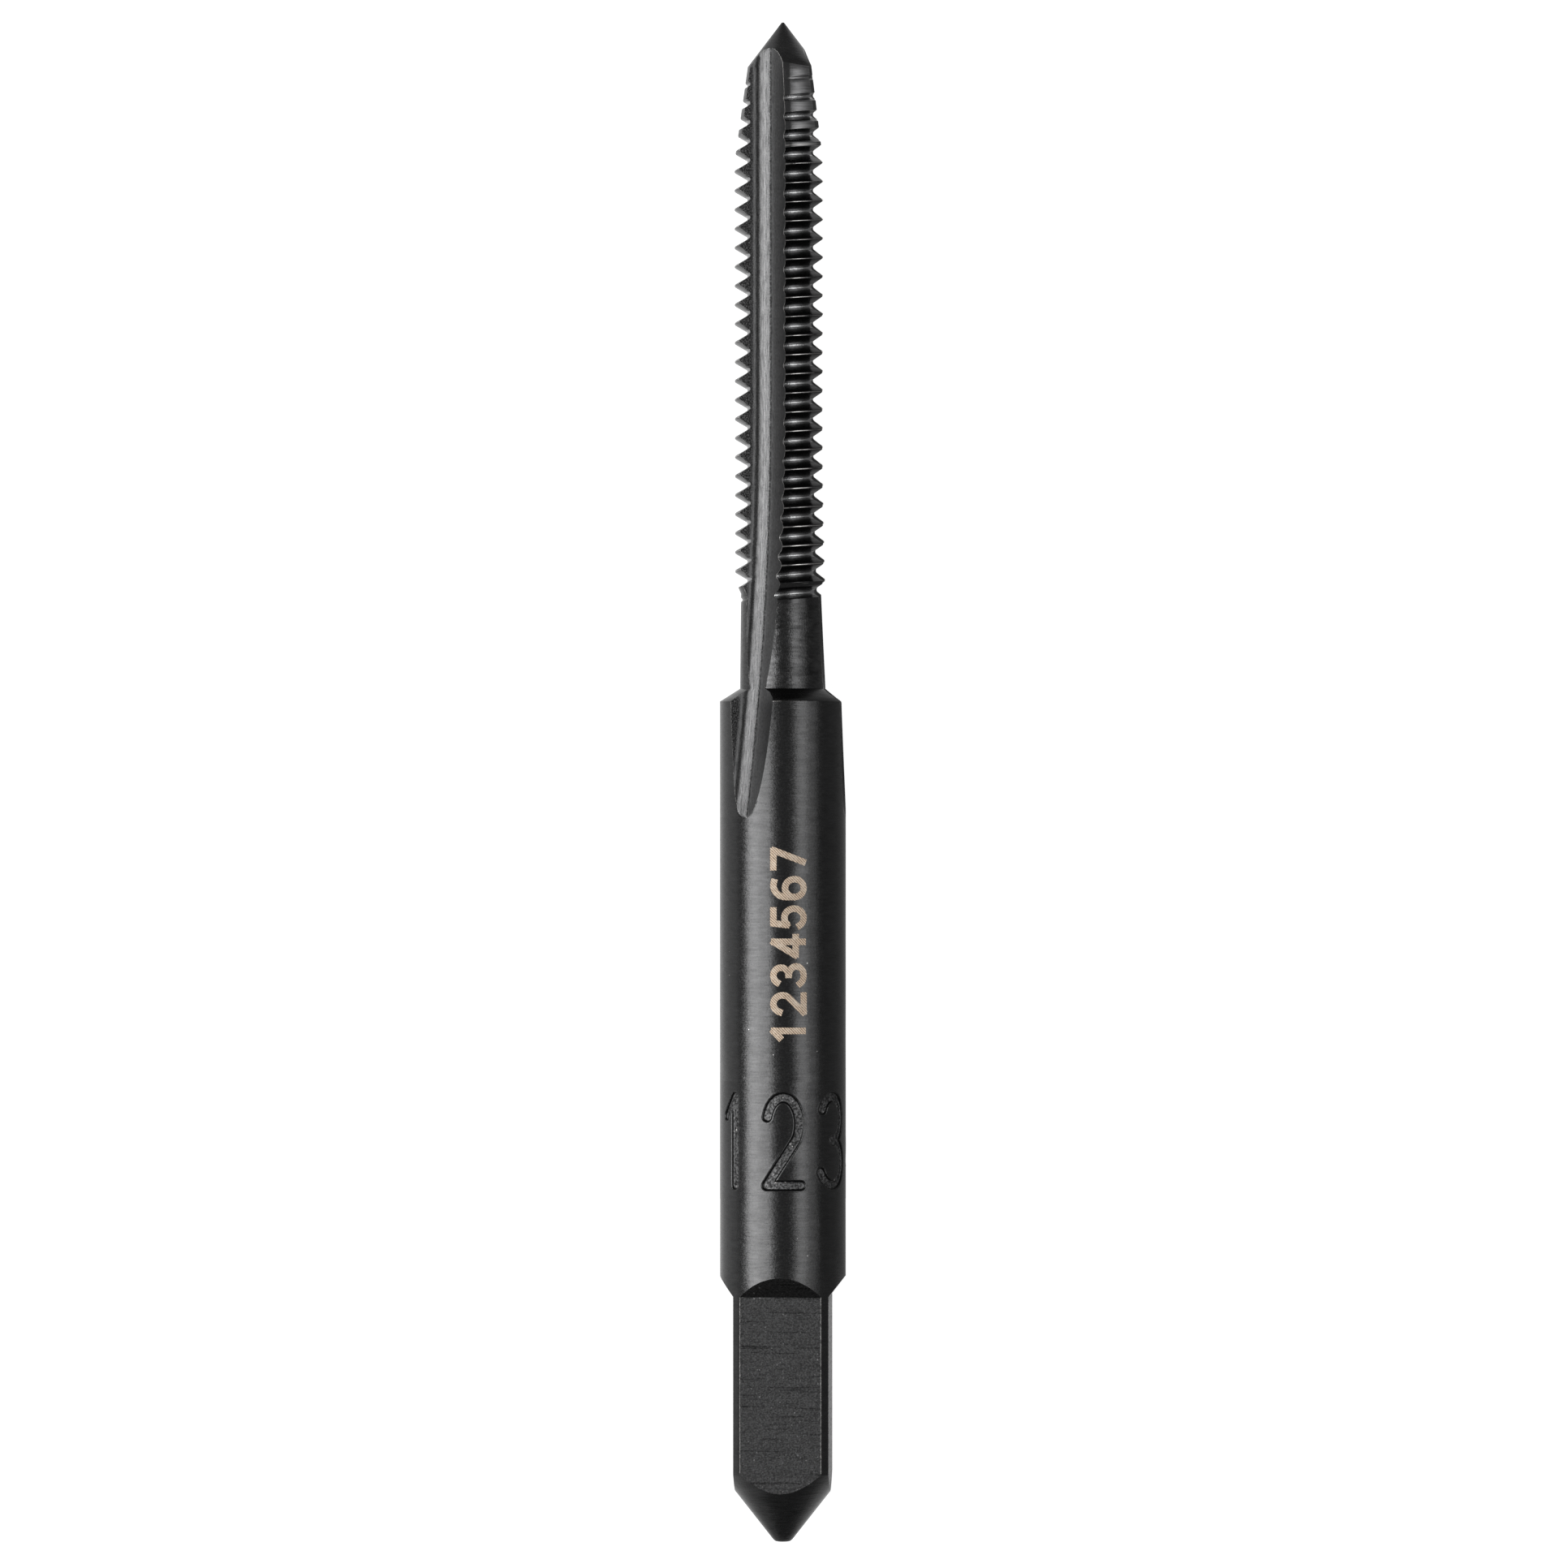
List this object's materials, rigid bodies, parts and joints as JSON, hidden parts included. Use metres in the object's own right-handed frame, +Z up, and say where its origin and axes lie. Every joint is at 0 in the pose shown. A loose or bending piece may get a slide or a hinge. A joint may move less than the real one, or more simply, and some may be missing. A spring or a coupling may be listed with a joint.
{
  "type": "thread tap",
  "caption": "Slim black hand tap that cuts a small metric thread: pointed, straight-fluted threaded front, plain round shank and square drive end.",
  "frame": {"origin": "on the floor under the middle of the tap's length, where the shank rests", "axes": "+Y along the tap's axis towards the point, +Z up, +X to the right when looked down on with the point away"},
  "size_m": [0.004, 0.0478, 0.004],
  "materials": {
    "black_steel": "satin"
  },
  "bodies": {
    "root": {"tap": "black_steel"}
  },
  "joints": []
}
